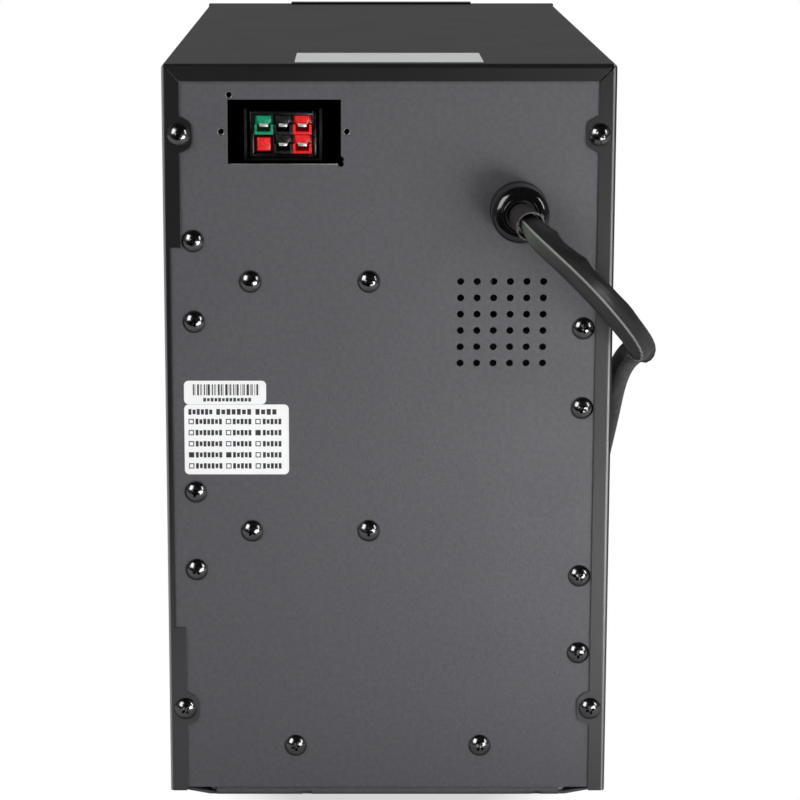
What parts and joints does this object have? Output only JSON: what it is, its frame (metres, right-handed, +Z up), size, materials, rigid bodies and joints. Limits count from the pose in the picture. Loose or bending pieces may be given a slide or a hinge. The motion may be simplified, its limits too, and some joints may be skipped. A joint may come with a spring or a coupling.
{
  "type": "ups battery",
  "caption": "Tower battery pack for an uninterruptible power supply: folded steel case with a vented rear panel, modular pole socket and a glanded cable that ends in a plug.",
  "frame": {"origin": "middle of the footprint of the case with its bezel and rear screw heads, on the surface that it stands on; the free cable and its gland are left out of it", "axes": "+Z up, -Y out of the rear panel with the socket and cable gland, +Y out of the front bezel, +X to the right as seen from behind"},
  "size_m": [0.2341, 0.6396, 0.321],
  "materials": {
    "case_paint": "fine texture powder coat, satin black",
    "zinc_steel": "zinc plated sheet",
    "bezel_plastic": "fine texture moulding",
    "band_gloss": "polished",
    "block_plastic": "moulded case",
    "terminal_metal": "tinned",
    "lead_red": "satin insulation",
    "lead_black": "satin insulation",
    "fuse_body": "satin",
    "black_moulding": "moulded",
    "pole_green": "moulded",
    "pole_red": "moulded",
    "contact_metal": "silver plated",
    "gland_plastic": "moulded",
    "seal_rubber": "matte",
    "cable_sleeve": "satin sleeve",
    "strap_fabric": "woven",
    "screw_black": "glossy black",
    "label_paper": "satin",
    "label_silver": "satin foil"
  },
  "bodies": {
    "root": {"barcode_label": "label_paper", "base_pan": "case_paint", "battery_cable": "cable_sleeve", "battery_terminals": "terminal_metal", "bezel_band": "band_gloss", "black_leads": "lead_black", "cable_coil": "cable_sleeve", "cable_straps": "strap_fabric", "cable_tail": "cable_sleeve", "corner_screws": "screw_black", "front_bezel": "bezel_plastic", "front_panel": "case_paint", "front_screws": "screw_black", "fuse_block": "black_moulding", "fuse_block_studs": "terminal_metal", "fuses": "fuse_body", "gland_body": "gland_plastic", "gland_lock_nut": "gland_plastic", "gland_nut": "gland_plastic", "gland_seal": "seal_rubber", "lower_battery_1": "block_plastic", "lower_battery_2": "block_plastic", "lower_battery_3": "block_plastic", "lower_battery_4": "block_plastic", "lower_battery_5": "block_plastic", "lower_battery_6": "block_plastic", "lower_battery_tray": "zinc_steel", "lower_left_rail": "zinc_steel", "lower_link_leads": "lead_black", "lower_right_rail": "zinc_steel", "lower_shelf": "zinc_steel", "panel_screws": "screw_black", "plug_poles": "pole_red", "plug_shell": "black_moulding", "rating_label": "label_paper", "rear_panel": "case_paint", "red_leads": "lead_red", "socket_blank": "pole_red", "socket_bracket": "zinc_steel", "socket_carrier": "black_moulding", "socket_contacts": "contact_metal", "socket_pole_black_lower": "black_moulding", "socket_pole_black_upper": "black_moulding", "socket_pole_green": "pole_green", "socket_pole_red_lower": "pole_red", "socket_pole_red_upper": "pole_red", "top_label": "label_silver", "upper_battery_1": "block_plastic", "upper_battery_2": "block_plastic", "upper_battery_3": "block_plastic", "upper_battery_4": "block_plastic", "upper_battery_5": "block_plastic", "upper_battery_6": "block_plastic", "upper_battery_tray": "zinc_steel", "upper_left_rail": "zinc_steel", "upper_link_leads": "lead_black", "upper_right_rail": "zinc_steel", "upper_shelf": "zinc_steel", "wrap_cover": "case_paint"}
  },
  "joints": []
}
